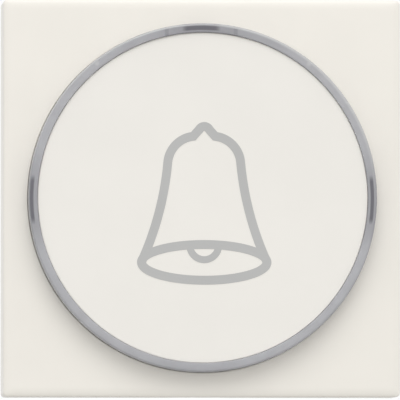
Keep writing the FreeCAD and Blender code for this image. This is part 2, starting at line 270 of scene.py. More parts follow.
# %% [markdown]
# ## Node trees as sums
# A finish is a sum over the surface: so much grain, a little less gloss where it is worn. Written as Python
# expressions it can be read. One class wraps a socket, and its operators add Math nodes. One method of the
# graph adds any other node. The same two serve materials and Geometry Nodes.

# %% A graph and its values
class Value:
    """A socket of a node tree that Python can add, multiply and compare."""

    def __init__(self, graph, socket):
        self.graph, self.socket = graph, socket

    def math(self, operation, *values):
        return self.graph.node("ShaderNodeMath", {"operation": operation}, values)

    def __add__(self, other):
        return self.math("ADD", self, other)

    def __sub__(self, other):
        return self.math("SUBTRACT", self, other)

    def __rsub__(self, other):
        return self.math("SUBTRACT", other, self)

    def __mul__(self, other):
        return self.math("MULTIPLY", self, other)

    def __truediv__(self, other):
        return self.math("DIVIDE", self, other)

    def __pow__(self, other):
        return self.math("POWER", self, other)

    __radd__ = __add__
    __rmul__ = __mul__

    def sine(self):
        return self.math("SINE", self)

    def cosine(self):
        return self.math("COSINE", self)

    def fraction(self):
        return self.math("FRACT", self)

    def distance(self):
        return self.math("ABSOLUTE", self)

    def least(self, other):
        return self.math("MINIMUM", self, other)

    def most(self, other):
        return self.math("MAXIMUM", self, other)

    def ramp(self, start, end):
        """0 at start, 1 at end, smooth between them, whichever is the larger."""
        settings = {"interpolation_type": "SMOOTHSTEP"}
        return self.graph.node("ShaderNodeMapRange", settings, [self, start, end, 0.0, 1.0])


class Graph:
    """A node tree that is filled by calling node()."""

    def __init__(self, tree):
        self.tree = tree

    def node(self, kind, settings=None, values=(), output=0):
        """Adds a node: its settings first, then a value or a link for each socket, by place or by name."""
        made = self.tree.nodes.new(kind)
        for name, setting in (settings or {}).items():
            setattr(made, name, setting)
        pairs = values.items() if isinstance(values, dict) else enumerate(values)
        for key, value in pairs:
            socket = made.inputs[key]
            if isinstance(value, Value):
                self.tree.links.new(value.socket, socket)
            else:
                socket.default_value = value
        return Value(self, made.outputs[output])

    def outputs_of(self, value):
        """Every output of the node that a value came from, by name."""
        return {socket.name: Value(self, socket) for socket in value.socket.node.outputs if socket.enabled}


# %% [markdown]
# ## Finishes
# Colours are written as a screen shows them and turned into light values once. Moulded plastic isn't one
# flat colour: the mould leaves a fine grain, the gloss wanders a little, and the pigment is never quite
# even. All of it comes from noise in object coordinates, sized in real millimetres.

# %% Moulded plastic
def shade(red, green, blue):
    """A screen colour from 0 to 255 as linear light."""
    def linear(level):
        level /= 255
        return level / 12.92 if level <= 0.04045 else ((level + 0.055) / 1.055) ** 2.4
    return tuple(linear(level) for level in (red, green, blue))


def finish(name, sockets):
    """A new material with its main shader, whose plain sockets are set by name."""
    material = bpy.data.materials.new(name)
    material.use_nodes = True
    graph = Graph(material.node_tree)
    shader = material.node_tree.nodes["Principled BSDF"]
    for socket, value in sockets.items():
        shader.inputs[socket].default_value = value
    return material, graph, shader


def noise(graph, size_mm, detail=3.0, roughness=0.5, stretch=None):
    """Noise from 0 to 1 whose blobs are about size_mm across."""
    place = graph.outputs_of(graph.node("ShaderNodeTexCoord"))["Object"]
    if stretch:
        place = graph.node("ShaderNodeVectorMath", {"operation": "MULTIPLY"}, [place, stretch])
    values = {"Vector": place, "Scale": 1000.0 / size_mm, "Detail": detail, "Roughness": roughness}
    return graph.node("ShaderNodeTexNoise", {}, values)


def across_and_up(graph):
    """Object coordinates seen from the front, in millimetres from the button's middle."""
    place = graph.outputs_of(graph.node("ShaderNodeTexCoord"))["Object"]
    axes = graph.outputs_of(graph.node("ShaderNodeSeparateXYZ", {}, [place]))
    return axes["X"] * 1000.0, axes["Z"] * 1000.0


def link(graph, value, shader, socket):
    graph.tree.links.new(value.socket, shader.inputs[socket])


def tinted(graph, amount, first, second):
    """A colour between two, by an amount from 0 to 1."""
    return graph.node("ShaderNodeMix", {"data_type": "RGBA"},
                      {"Factor": amount, 6: (*first, 1.0), 7: (*second, 1.0)}, output=2)


def raised(graph, shader, pattern, strength, depth_mm):
    """Raises the surface by a pattern, as the light sees it."""
    values = {"Strength": strength, "Distance": depth_mm / 1000, "Height": pattern}
    link(graph, graph.node("ShaderNodeBump", {}, values), shader, "Normal")


def moulded(name, colour, roughness, grain_mm=0.12, grain_depth=0.004, unevenness=0.03):
    """Injection-moulded plastic: even pigment with a breath of cloud, fine spark grain, wandering gloss."""
    material, graph, shader = finish(name, {"IOR": 1.5})
    cloud = noise(graph, 9.0, detail=4.0)
    grain = noise(graph, grain_mm, detail=2.0)
    darker = tuple(c * (1 - unevenness) for c in colour)
    link(graph, tinted(graph, cloud.ramp(0.35, 0.65), colour, darker), shader, "Base Color")
    wander = noise(graph, 2.5)
    link(graph, wander * 0.06 + (grain - 0.5) * 0.08 + (roughness - 0.03), shader, "Roughness")
    raised(graph, shader, grain, 0.35, grain_depth)
    return material


CREAM = shade(239, 235, 227)
plate_plastic = moulded("plate_plastic", CREAM, 0.34, unevenness=0.015)
cap_plastic = moulded("cap_plastic", shade(237, 234, 228), 0.36, unevenness=0.015)
housing_plastic = moulded("housing_plastic", shade(216, 215, 210), 0.48, grain_mm=0.25, grain_depth=0.01)
cover_plastic = moulded("cover_plastic", shade(236, 236, 232), 0.42)
plunger_plastic = moulded("plunger_plastic", shade(62, 60, 66), 0.5, grain_mm=0.2)
chip_plastic = moulded("chip_plastic", shade(34, 34, 36), 0.55, grain_mm=0.06)
lamp_body_plastic = moulded("lamp_body_plastic", shade(240, 240, 236), 0.4, grain_mm=0.05)
sign_paint = moulded("sign_paint", shade(183, 183, 182), 0.42, grain_mm=0.1, grain_depth=0.006)

# %% [markdown]
# The light ring is clear plastic with a little smoke in it. Real clear mouldings still scatter some light,
# so a part of the shader is plain and the rest transmits.

# %% Clear and smoked plastic
# Painted shade: the dark tone that the ring's colour is mixed to where the lugs and parts behind would darken
# it.
PAINTED_SHADE_TONE = shade(132, 130, 139)


def clear(name, colour, transmission, roughness, ior=1.49, marks=None):
    """Clear plastic with a little haze. Marks gives two masks of painted light in the colour: painted shade,
    mixed to a dark tone, and painted highlights, mixed to white.
    """
    material, graph, shader = finish(name, {"IOR": ior, "Transmission Weight": transmission})
    haze = noise(graph, 1.6)
    tint = tinted(graph, haze.ramp(0.3, 0.7), colour, tuple(c * 0.94 for c in colour))
    if marks:
        for mask, painted_tone in zip(marks(graph), (PAINTED_SHADE_TONE, (1.0, 1.0, 1.0))):
            tint = graph.node("ShaderNodeMix", {"data_type": "RGBA"},
                              {"Factor": mask, 6: tint, 7: (*painted_tone, 1.0)}, output=2)
    link(graph, tint, shader, "Base Color")
    link(graph, noise(graph, 0.5) * 0.05 + roughness, shader, "Roughness")
    return material


def ring_painted_light(graph):
    """Painted light in the ring's colour. Painted shade: the plunger's four lugs as if seen through the ring,
    a shade round them, two short dark ticks and a darker top. Painted highlights: two glints and the lit
    upper rim. The slanted view shifts the lugs by a tenth or two."""
    lug_r, tick_x, glint_x, glint_z = 19.3, 3.9, 12.05, 15.2
    east, height = across_and_up(graph)
    radius = ((east + 0.1) ** 2.0 + (height + 0.07) ** 2.0) ** 0.5
    across = (east + 0.2).distance().least((height + 0.25).distance())
    upper = height.ramp(13.0, 18.0)
    band = ((radius - lug_r).distance() * (1.35 - upper * 0.35)).ramp(0.45, 0.15)
    strength = height.ramp(-19.0, -17.5) * 0.93 + 0.07
    lug = (across + upper * 0.5).ramp(3.25, 2.0)
    tick = (across - tick_x).distance().ramp(0.5, 0.1) * upper * 0.5
    # Painted shade round the lugs and over the ring's top.
    shade_around = across.ramp(6.5, 2.0) * (height.ramp(-19.0, -14.0) * 0.16 + 0.1) + upper * 0.12
    # Painted highlights: two glints near the top, and the outer rim lit on its upper half, less over a lug.
    painted_glint = ((east.distance() - glint_x) ** 2.0 + (height - glint_z) ** 2.0) ** 0.5
    rim = radius.ramp(19.46, 19.68) * height.ramp(-1.0, 9.0) * (0.7 - lug * 0.3)
    return (lug * band * strength).most(tick).most(shade_around), (painted_glint.ramp(0.42, 0.12) * 0.6).most(rim)


ring_plastic = clear("ring_plastic", shade(228, 228, 233), 0.5, 0.1, marks=ring_painted_light)
lamp_lens = clear("lamp_lens", shade(250, 190, 70), 0.6, 0.12, ior=1.53)

# %% [markdown]
# ## Metals
# Stamped brass and copper show fine lines along the strip, wire is drawn along its length, and plated
# screws are slightly cloudy. One function makes them all: colour, gloss, and noise that is drawn out along
# one axis.

# %% Metal finishes
def metal(name, colour, roughness, drawn=(1.0, 1.0, 1.0), line_mm=0.3):
    material, graph, shader = finish(name, {"Metallic": 1.0})
    cloud = noise(graph, 3.0, detail=4.0)
    lines = noise(graph, line_mm, detail=4.0, roughness=0.6, stretch=drawn)
    dull = tuple(c * 0.88 for c in colour)
    link(graph, tinted(graph, cloud.ramp(0.35, 0.7), colour, dull), shader, "Base Color")
    link(graph, lines * 0.18 + cloud * 0.08 + (roughness - 0.1), shader, "Roughness")
    raised(graph, shader, lines, 0.25, 0.01)
    return material


brass = metal("brass", shade(214, 176, 96), 0.3, drawn=(0.15, 1.0, 1.0))
machined_brass = metal("machined_brass", shade(206, 172, 104), 0.34, drawn=(1.0, 1.0, 0.2), line_mm=0.2)
copper = metal("copper", shade(205, 132, 98), 0.32, drawn=(0.12, 1.0, 1.0))
silver = metal("silver", shade(226, 226, 222), 0.28)
spring_steel = metal("spring_steel", shade(168, 170, 174), 0.25, line_mm=0.15)
zinc_plate = metal("zinc_plate", shade(196, 200, 204), 0.3, line_mm=0.2)
tin = metal("tin", shade(214, 215, 214), 0.35, line_mm=0.2)
pin_plate = metal("pin_plate", shade(220, 190, 120), 0.28)

# %% [markdown]
# The lamp board is glass fibre under white lacquer. Weave shows faintly through the lacquer as a fine grid,
# and the copper under it as slightly raised tracks that follow the board round.

# %% Circuit board
def board_finish():
    sockets = {"IOR": 1.5, "Coat Weight": 0.3, "Coat Roughness": 0.2}
    material, graph, shader = finish("board_lacquer", sockets)
    x, z = across_and_up(graph)
    radius = (x * x + z * z) ** 0.5
    tracks = (radius - 17.0).distance().ramp(0.45, 0.35).most((radius - 18.9).distance().ramp(0.3, 0.2))
    weave = (x * 12.0).sine() * (z * 12.0).sine() * 0.5 + 0.5
    lacquer = tinted(graph, tracks, shade(234, 238, 232), shade(214, 222, 212))
    link(graph, lacquer, shader, "Base Color")
    link(graph, weave * 0.06 + 0.3, shader, "Roughness")
    raised(graph, shader, tracks + weave * 0.2, 0.4, 0.03)
    return material


board_lacquer = board_finish()

# %% [markdown]
# ## Sizes
# These are the sizes that the solids have, in millimetres on the bench, worked out once from the photograph
# and from what such a button needs. Only the opening, the ring's lip and the cap are drawn with less play
# than the solids, because the photograph shows no dark line beside the ring. Two solids' boxes are printed
# to compare with.

# %% Sizes of the pieces
PLATE_HALF, PLATE_TOP, PLATE_RIM, PLATE_CORNER = 22.5, 8.0, 0.2, 0.45
EDGE_WIDE, EDGE_DEEP, PLATE_INNER_TOP, CAVITY_HALF = 1.1, 0.28, 6.4, 21.1
OPENING_R = 19.77
RING_R, RING_LIP_R, RING_SEAT_R, RING_FLANGE_R = 19.75, 18.72, 17.0, 20.8
RING_TOP, RING_LEDGE, RING_BOTTOM = 10.4, 7.9, 5.1
CAP_R, CAP_INNER_R, CAP_TOP, CAP_INNER_TOP, HEAD_BOTTOM = 18.70, 17.35, 10.1, 8.7, 5.3
POCKET_R, POCKET_HALF, POCKET_BOTTOM, POCKET_TOP = 19.5, 2.45, 5.5, 6.5
FLANGE_HALF, FLANGE_TOP, CUP_R, CUP_BORE_R, CUP_BOTTOM, CUP_FLOOR = 20.8, 2.0, 17.0, 15.0, -22.0, -20.0
WALL_SCREW_X, WALL_HOLE_R, WALL_SINK_R, WIRE_HOLE_R = 16.3, 1.8, 3.3, 1.7
CONTACT_X, PIN_X, CLAMP_Z, STAKE_R, BOARD_TOP = 10.4, 13.0, -17.4, 17.55, 2.8
for solid in ("front_plate", "housing"):
    lowest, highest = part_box(solid)
    print(solid, "measures", [round(1000 * (high - low), 2) for low, high in zip(lowest, highest)], "mm")

# %% [markdown]
# ## Cover plate
# A square shell with a round opening. Its front edge falls off slowly at first and then steeply, a quarter
# of a flat ellipse, which is what makes the soft bright band along the top. The section is drawn once as a
# row of loops: out from the opening, over the edge, down the skirt, and back inside. Snap ridges, corner
# posts and the notch for prising it off are joined and cut afterwards.

# %% Build the cover plate
def cover_plate():
    soft, rim, root = 0.1, 0.12, 0.4
    loops = [round_loop(r, z) for r, z in bend((OPENING_R, PLATE_TOP - soft), (OPENING_R + soft, PLATE_TOP),
                                               (OPENING_R + soft, PLATE_TOP - soft), 4)]
    loops += [square_loop(PLATE_HALF - inset, PLATE_CORNER, PLATE_TOP - drop) for inset, drop in
              bend((EDGE_WIDE, 0), (0, EDGE_DEEP), (EDGE_WIDE, EDGE_DEEP), 12)]
    loops += [square_loop(PLATE_HALF - inset, PLATE_CORNER, PLATE_RIM + height)
              for inset, height in ((0, rim), (rim, 0))]
    loops += [square_loop(CAVITY_HALF, 0.5, z) for z in (PLATE_RIM, PLATE_INNER_TOP)]
    loops.append(round_loop(OPENING_R, PLATE_INNER_TOP))
    shell = loft(loops, True)

    snap_half, foot, crest = 7.0, CAVITY_HALF + root, CAVITY_HALF - 0.5
    ridge = loft([[(foot, y, 0.4), (crest, y, 0.95), (crest, y, 1.3), (foot, y, 1.3)]
                  for y in (-snap_half, snap_half)], False)
    corner = (CAVITY_HALF - 1.3, CAVITY_HALF + 0.3)
    post = block(*corner, *corner, FLANGE_TOP, PLATE_INNER_TOP + root)
    shell = join(shell, [merged(round_the_axis(ridge)), merged(round_the_axis(post))])
    notch_half, notch_height = 3.0, 1.2
    notch = block(-notch_half, notch_half, -PLATE_HALF - 1, -CAVITY_HALF - 0.25,
                  PLATE_RIM - 1, PLATE_RIM + notch_height)
    return cut(shell, [notch])


shown("cover_plate", cover_plate(), plate_plastic, "base", ["front_plate"])

# %% [markdown]
# ## Light ring
# A turned ring of clear plastic. Its top stands above the cap, with a soft outer edge and a crisper inner
# one. Its points lie on the same rays as the plate's opening, so a gap of two hundredths stays even. Four
# pockets in its foot take the plunger's lugs. Where the lugs sit, painted shade in the ring's colour darkens
# the clear wall as if they showed through it.

# %% Build the light ring
def light_ring():
    profile = rounded([
        (RING_LIP_R, RING_TOP, 0.1), (RING_R, RING_TOP, 0.26), (RING_R, PLATE_INNER_TOP, 0.05),
        (RING_FLANGE_R, PLATE_INNER_TOP, 0.1), (RING_FLANGE_R, RING_BOTTOM, 0.1),
        (RING_SEAT_R, RING_BOTTOM, 0.1), (RING_SEAT_R, RING_LEDGE, 0.08), (RING_LIP_R, RING_LEDGE, 0.0),
    ])
    ring = turned(profile, closed=True)
    pocket = block(RING_SEAT_R - 1, POCKET_R, -POCKET_HALF, POCKET_HALF, POCKET_BOTTOM, POCKET_TOP)
    return cut(ring, [merged(round_the_axis(pocket))])


shown("clear_ring", light_ring(), ring_plastic, "button", ["light_ring"])

# %% [markdown]
# ## Cap
# The cap is a shallow hollow disc with a hair of rounding on its edge, and four tongues that plug into the
# plunger. Its top stays flat right up to the rounding, because the slightest dome would show in even light.

# %% Build the cap
def push_cap():
    soft, middle = 0.09, 0.5
    profile = [(middle, CAP_INNER_TOP), (CAP_INNER_R, CAP_INNER_TOP), (CAP_INNER_R, RING_LEDGE),
               (CAP_R, RING_LEDGE)]
    profile += bend((CAP_R, CAP_TOP - soft), (CAP_R - soft, CAP_TOP), (CAP_R - soft, CAP_TOP - soft))
    profile.append((middle, CAP_TOP))
    tongue_inner, tongue_outer, tongue_half = 10.3, 11.7, 1.6
    tongue = block(tongue_inner, tongue_outer, -tongue_half, tongue_half, HEAD_BOTTOM, CAP_INNER_TOP + 0.3)
    return join(turned(profile), [merged(round_the_axis(tongue, offset=45))])


shown("push_cap", push_cap(), cap_plastic, "button", ["button_cap"])

# %% [markdown]
# ## Bell sign
# The sign is a drawing of even line width: a body, an oval mouth and a half-hidden clapper. Each line is a
# path, thickened to both sides of its middle. The three are joined into one thin layer on the cap.

# %% Draw the bell sign
SIGN_BOTTOM, SIGN_TOP, SIGN_SHIFT = 10.02, 10.13, 0.15
LINE, CLAPPER_LINE = 1.0, 0.78
MOUTH_Y, MOUTH_A, MOUTH_B = -7.32, 7.11, 2.02


def arc(a, b, c, steps=24):
    """Points on the circle through three points, from a over b to c."""
    a, b, c = Vector(a), Vector(b), Vector(c)
    d = 2 * (a.x * (b.y - c.y) + b.x * (c.y - a.y) + c.x * (a.y - b.y))
    weights = (b.y - c.y, c.y - a.y, a.y - b.y), (c.x - b.x, a.x - c.x, b.x - a.x)
    centre = Vector([sum(p.length_squared * w for p, w in zip((a, b, c), row)) / d for row in weights])
    start, middle, end = (atan2(*reversed(p - centre)) for p in (a, b, c))
    sweep = (end - start) % (2 * pi)
    if (middle - start) % (2 * pi) > sweep:
        sweep -= 2 * pi
    radius = (a - centre).length
    ways = [start + sweep * i / steps for i in range(steps + 1)]
    return [tuple(centre + radius * Vector((cos(way), sin(way)))) for way in ways]


def ribbon(path, width, closed):
    """A path thickened to an even line, as a thin solid."""
    path = [Vector(p) for p in path]
    left, right = [], []
    for i, point in enumerate(path):
        before = path[i - 1] if closed or i else point * 2 - path[1]
        after = path[(i + 1) % len(path)] if closed or i < len(path) - 1 else point * 2 - path[-2]
        ways = [(point - before).normalized(), (after - point).normalized()]
        along = (ways[0] + ways[1]).normalized()
        across = Vector((-along.y, along.x)) * (width / 2 / max(along.dot(ways[0]), 0.5))
        left.append(point + across)
        right.append(point - across)
    section = [(left, SIGN_BOTTOM), (left, SIGN_TOP), (right, SIGN_TOP), (right, SIGN_BOTTOM)]
    if closed:
        return loft([[(p.x, p.y, z) for p in side] for side, z in section], True)
    return loft([[(side[i].x, side[i].y, z) for side, z in section] for i in range(len(path))], False)


def oval(a, b):
    return [(a * cos(t), MOUTH_Y + b * sin(t)) for t in even_rays(128)]


def bell_sign():
    foot, shoulder, neck = (7.05, -7.15), (4.12, 4.1), (1.24, 6.95)
    right = arc(foot, (4.79, -0.3), shoulder, 40) + arc(shoulder, (3.18, 6.02), neck)[1:]
    knob = arc((0.56, 7.72), (0.0, 8.06), (-0.56, 7.72), 16)
    left = [(-x, y) for x, y in reversed(right)]
    body = ribbon(right + knob + left, LINE, False)
    mouth = ribbon(oval(MOUTH_A, MOUTH_B), LINE, True)
    mouth_full = loft([[(x, y, z) for x, y in oval(MOUTH_A + LINE / 2, MOUTH_B + LINE / 2)]
                       for z in (SIGN_BOTTOM - 1, SIGN_TOP + 1)], False)
    hang, clapper_r = MOUTH_Y + MOUTH_B - LINE / 2 + 0.42, 1.64
    clapper = arc((-clapper_r, hang), (0, hang - clapper_r), (clapper_r, hang))
    clapper = ribbon(clapper, CLAPPER_LINE, False)
    clapper = boolean(clapper, [mouth_full], "INTERSECT")
    ends = merged([bar(LINE / 2, (x, foot[1], SIGN_BOTTOM), (x, foot[1], SIGN_TOP))
                   for x in (-foot[0], foot[0])])
    sign = join(body, [ends, mouth, clapper])
    return moved(sign, SIGN_SHIFT, 0, 0)


shown("bell_sign", bell_sign(), sign_paint, "button", ["bell_symbol"])

# %% [markdown]
# ## Mounting cup
# The grey moulding behind the plate goes in a drilled hole, and its square flange is screwed to the wall.
# Its skin is one loft from the middle of the cup's bottom, up the outside, round the flange and down the
# bore to the floor. Ribs and stakes are joined to it. The holes for wall screws, wires and a screwdriver
# are cut last, with funnels where the wires go in, and so are the four round marks of the mould's ejectors
# and a generic terminal number beside each wire hole.

# %% Build the mounting cup
def counterbored_hole(x, y):
    cutter = [(WALL_HOLE_R, -1), (WALL_HOLE_R, FLANGE_TOP - 1), (WALL_SINK_R, FLANGE_TOP - 1),
              (WALL_SINK_R, FLANGE_TOP + 1)]
    return moved(turned(cutter, rays=even_rays(64)), x, y, 0)


def wire_funnel(x):
    mouth_r = 2.3
    cutter = [(mouth_r, CUP_BOTTOM - 0.5), (mouth_r, CUP_BOTTOM), (WIRE_HOLE_R, CUP_BOTTOM + 0.8),
              (WIRE_HOLE_R, CUP_FLOOR + 0.5)]
    return moved(turned(cutter, rays=even_rays(64)), x, 0, 0)


def numeral(text, x):
    """A figure that is sunk in the cup's bottom and reads the right way from behind."""
    y, size, depth = 5.2, 3.6, 0.25
    curve = bpy.data.curves.new("numeral", "FONT")
    curve.body, curve.size, curve.extrude = text, size, depth
    curve.align_x, curve.align_y = "CENTER", "CENTER"
    writing = bpy.data.objects.new("numeral", curve)
    mesh = bpy.data.meshes.new_from_object(writing)
    bpy.data.objects.remove(writing)
    bm = bmesh.new()
    bm.from_mesh(mesh)
    bmesh.ops.remove_doubles(bm, verts=bm.verts, dist=STRAY_POINT)
    bmesh.ops.recalc_face_normals(bm, faces=bm.faces)
    bm.to_mesh(mesh)
    bm.free()
    mesh.transform(Matrix.Translation((x, y, CUP_BOTTOM)) @ Matrix.Rotation(pi, 4, "Y"))
    return mesh


def mounting_cup():
    soft, middle, root = 0.18, 2.0, CUP_FLOOR - 0.3
    loops = [round_loop(r, CUP_BOTTOM) for r in (middle, 9.0)]
    loops += [round_loop(r, z) for r, z in bend((CUP_R - 0.8, CUP_BOTTOM), (CUP_R, CUP_BOTTOM + 0.8),
                                                (CUP_R - 0.8, CUP_BOTTOM + 0.8))]
    loops += [round_loop(r, z) for r, z in bend((CUP_R, -0.5), (CUP_R + 0.5, 0), (CUP_R + 0.5, -0.5))]
    flange = bend((0, 0), (soft, soft), (0, soft))
    flange += bend((soft, FLANGE_TOP - soft), (0, FLANGE_TOP), (0, FLANGE_TOP - soft))
    loops += [square_loop(FLANGE_HALF - soft + d, 1.5 - soft + d, z) for d, z in flange]
    bore = [(CUP_BORE_R + 0.2, FLANGE_TOP), (CUP_BORE_R, FLANGE_TOP - 0.2), (CUP_BORE_R, CUP_FLOOR + 0.4),
            (CUP_BORE_R - 0.4, CUP_FLOOR), (middle, CUP_FLOOR)]
    loops += [round_loop(r, z) for r, z in bore]
    shell = loft(loops, False)

    rest_rib = block(CUP_BORE_R - 1.5, CUP_BORE_R + 0.6, -0.6, 0.6, root, 0.4)
    stake = [(0.6, FLANGE_TOP - 0.5), (0.6, BOARD_TOP + 0.15), (0.45, BOARD_TOP + 0.3)]
    stake = loft([[(-half, -half, z), (half, -half, z), (half, half, z), (-half, half, z)]
                  for half, z in stake], False)
    moved(stake, STAKE_R, 0, 0)
    ribs = round_the_axis(rest_rib, offset=45) + round_the_axis(stake)
    inner, inside, outer, back, behind, top = 6.45, 7.45, 13.3, 3.05, 4.05, CUP_FLOOR + 4
    for side in (-1, 1):
        beside_terminal = block(*sorted((side * inner, side * inside)), -3.0, back, root, top)
        behind_terminal = block(*sorted((side * inner, side * outer)), back, behind, root, top)
        ribs.append(join(beside_terminal, [behind_terminal]))
    spigot_half = 2.3
    ribs.append(block(-spigot_half, spigot_half, -spigot_half, spigot_half, root, CUP_FLOOR + 1.5))
    shell = join(shell, ribs)

    notch_half, pocket_half, mark_r = 7.5, 2.55, 1.1
    notch = block(FLANGE_HALF - 0.5, FLANGE_HALF + 1, -notch_half, notch_half, -1, 1.3)
    lug_pocket = block(CUP_BORE_R - 0.5, CUP_BORE_R + 0.55, -pocket_half, pocket_half, 0.35, 1.25)
    holes = [merged(round_the_axis(notch)), merged(round_the_axis(lug_pocket))]
    corners = [(x, y) for x in (-WALL_SCREW_X, WALL_SCREW_X) for y in (-WALL_SCREW_X, WALL_SCREW_X)]
    holes.append(merged([counterbored_hole(x, y) for x, y in corners]))
    driver_r, sides = 1.8, (-CONTACT_X, CONTACT_X)
    holes.append(merged([wire_funnel(x) for x in sides]))
    holes.append(merged([bar(driver_r, (x, -CUP_R - 1, CLAMP_Z), (x, -3.0, CLAMP_Z)) for x in sides]))
    holes.append(merged([numeral(text, x) for text, x in zip("12", sides)]))
    holes.append(merged([bar(mark_r, (x, y, CUP_BOTTOM - 1), (x, y, CUP_BOTTOM + 0.08), 32)
                         for x, y in ((0, 11.5), (0, -11.5), (-4.5, 0), (4.5, 0))]))
    return cut(shell, holes)


shown("mounting_cup", mounting_cup(), housing_plastic, "base", ["housing"])

# %% [markdown]
# ## Geometry Nodes for what repeats
# Springs, threads, lamps and crush ribs follow a rule, and a node tree is the rule written down: a few
# named sizes go in, and the shape comes out. A tree is run once on a short-lived object, and its result is
# kept as a plain mesh, because an exported model can't carry the tree. The sizes are set by each socket's
# identifier before the tree first runs.

# %% Run a tree once
SOCKET_KINDS = {int: "NodeSocketInt", float: "NodeSocketFloat", bpy.types.Material: "NodeSocketMaterial"}


def grown(name, recipe, material, sizes, start=None):
    """Builds a tree from a recipe, gives it its sizes, and returns the mesh that it makes."""
    tree = bpy.data.node_groups.new(name, "GeometryNodeTree")
    tree.interface.new_socket("Geometry", in_out="OUTPUT", socket_type="NodeSocketGeometry")
    tree.interface.new_socket("Geometry", in_out="INPUT", socket_type="NodeSocketGeometry")
    given = dict(sizes, Finish=material)
    keys = {}
    for label, value in given.items():
        socket = tree.interface.new_socket(label, in_out="INPUT", socket_type=SOCKET_KINDS[type(value)])
        keys[label] = socket.identifier
    graph = Graph(tree)
    inputs = graph.outputs_of(graph.node("NodeGroupInput"))
    shape = recipe(graph, inputs)
    shape = graph.node("GeometryNodeRealizeInstances", {}, [shape])
    shape = graph.node("GeometryNodeSetMaterial", {}, {"Geometry": shape, "Material": inputs["Finish"]})
    tree.links.new(shape.socket, tree.nodes.new("NodeGroupOutput").inputs[0])

    grower = placed(name, start or bpy.data.meshes.new(name))
    modifier = grower.modifiers.new(name, "NODES")
    modifier.node_group = tree
    for label, value in given.items():
        modifier[keys[label]] = value
    mesh = bpy.data.meshes.new_from_object(grower.evaluated_get(bpy.context.evaluated_depsgraph_get()))
    grower.modifiers.remove(modifier)
    bpy.data.objects.remove(grower)
    print(f"{name} grew {len(mesh.polygons)} faces from", ", ".join(f"{k} {v}" for k, v in sizes.items()))
    return mesh


# %% [markdown]
# ## Springs
# A compression spring is wound with closed ends, so that it stands square: its first and last turn lie
# flat, and the turns between share the rest of the height. The tree bends a straight line of points into
# that path and sweeps round wire along it. The return spring is squeezed when the button goes in, so it
# gets a mesh of its own.

# %% Wind the springs
STEPS_PER_TURN = 36
TRAVEL, RETURN_HEIGHT, BRIDGE_TOP = 1.5, 7.6, -9.6


def spring_path(graph, given):
    steps = given["Steps"]
    line = graph.node("GeometryNodeCurvePrimitiveLine")
    line = graph.node("GeometryNodeResampleCurve", {}, {"Curve": line, "Count": steps})
    turn = graph.node("GeometryNodeInputIndex") / (steps - 1) * given["Turns"]
    flat = turn.least(1.0) + (turn - given["Turns"] + 1.0).most(0.0)
    open_share = ((turn - 1.0) / (given["Turns"] - 2.0)).most(0.0).least(1.0)
    wire, radius = given["Wire radius"], given["Coil radius"]
    rise = given["Height"] - wire * 6.0  # the closed ends and the wire itself fill three wires
    height = given["Bottom"] + wire + flat * wire * 2.0 + open_share * rise
    angle = turn * (2 * pi)
    place = graph.node("ShaderNodeCombineXYZ", {}, [angle.cosine() * radius, angle.sine() * radius, height])
    path = graph.node("GeometryNodeSetPosition", {}, {"Geometry": line, "Position": place})
    section = graph.node("GeometryNodeCurvePrimitiveCircle", {}, {"Resolution": 12, "Radius": wire})
    return graph.node("GeometryNodeCurveToMesh", {}, {
        "Curve": path, "Profile Curve": section, "Fill Caps": True})


def spring(name, bottom, height, coil_radius, wire_radius, turns, body, replaced):
    sizes = {"Bottom": bottom, "Height": height, "Coil radius": coil_radius, "Wire radius": wire_radius,
             "Turns": turns, "Steps": int(turns * STEPS_PER_TURN)}
    mesh = grown(name, spring_path, spring_steel, sizes)
    return shown(name, mesh, spring_steel, body, [replaced], crisp_over=60)


return_coil = spring("return_coil", CUP_FLOOR, RETURN_HEIGHT, coil_radius=4.0, wire_radius=0.3, turns=6.5,
                     body="base", replaced="return_spring")
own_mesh(return_coil)
spring("bridge_coil", BRIDGE_TOP, 3.2, coil_radius=1.8, wire_radius=0.2, turns=4.5,
       body="button", replaced="bridge_spring")

# %% [markdown]
# ## Clamp screws
# A thread is a wave that climbs as it goes round. The tree starts from a plain cylinder with many rings and
# moves each point in or out by that wave, which leaves one closed skin. The wave fades out towards both
# ends, where a real screw is chamfered. The slot is cut afterwards.

# %% Cut the clamp screws
def threaded_bar(graph, given):
    sizes = {"Vertices": 40, "Side Segments": given["Rings"], "Radius": given["Radius"],
             "Depth": given["Length"]}
    plain = graph.node("GeometryNodeMeshCylinder", {"fill_type": "NGON"}, sizes)
    place = graph.node("GeometryNodeInputPosition")
    axes = graph.outputs_of(graph.node("ShaderNodeSeparateXYZ", {}, [place]))
    angle = graph.node("ShaderNodeMath", {"operation": "ARCTAN2"}, [axes["Y"], axes["X"]])
    wave = ((axes["Z"] / given["Pitch"] - angle / (2 * pi)).fraction() - 0.5).distance() * 2.0
    from_end = given["Length"] / 2.0 - axes["Z"].distance()
    depth = wave * given["Thread depth"]
    chamfer = (given["Thread depth"] * 1.3 - from_end).most(0.0)
    shrink = 1.0 - (depth.most(chamfer) / given["Radius"])
    place = graph.node("ShaderNodeCombineXYZ", {}, [axes["X"] * shrink, axes["Y"] * shrink, axes["Z"]])
    return graph.node("GeometryNodeSetPosition", {}, {"Geometry": plain, "Position": place})


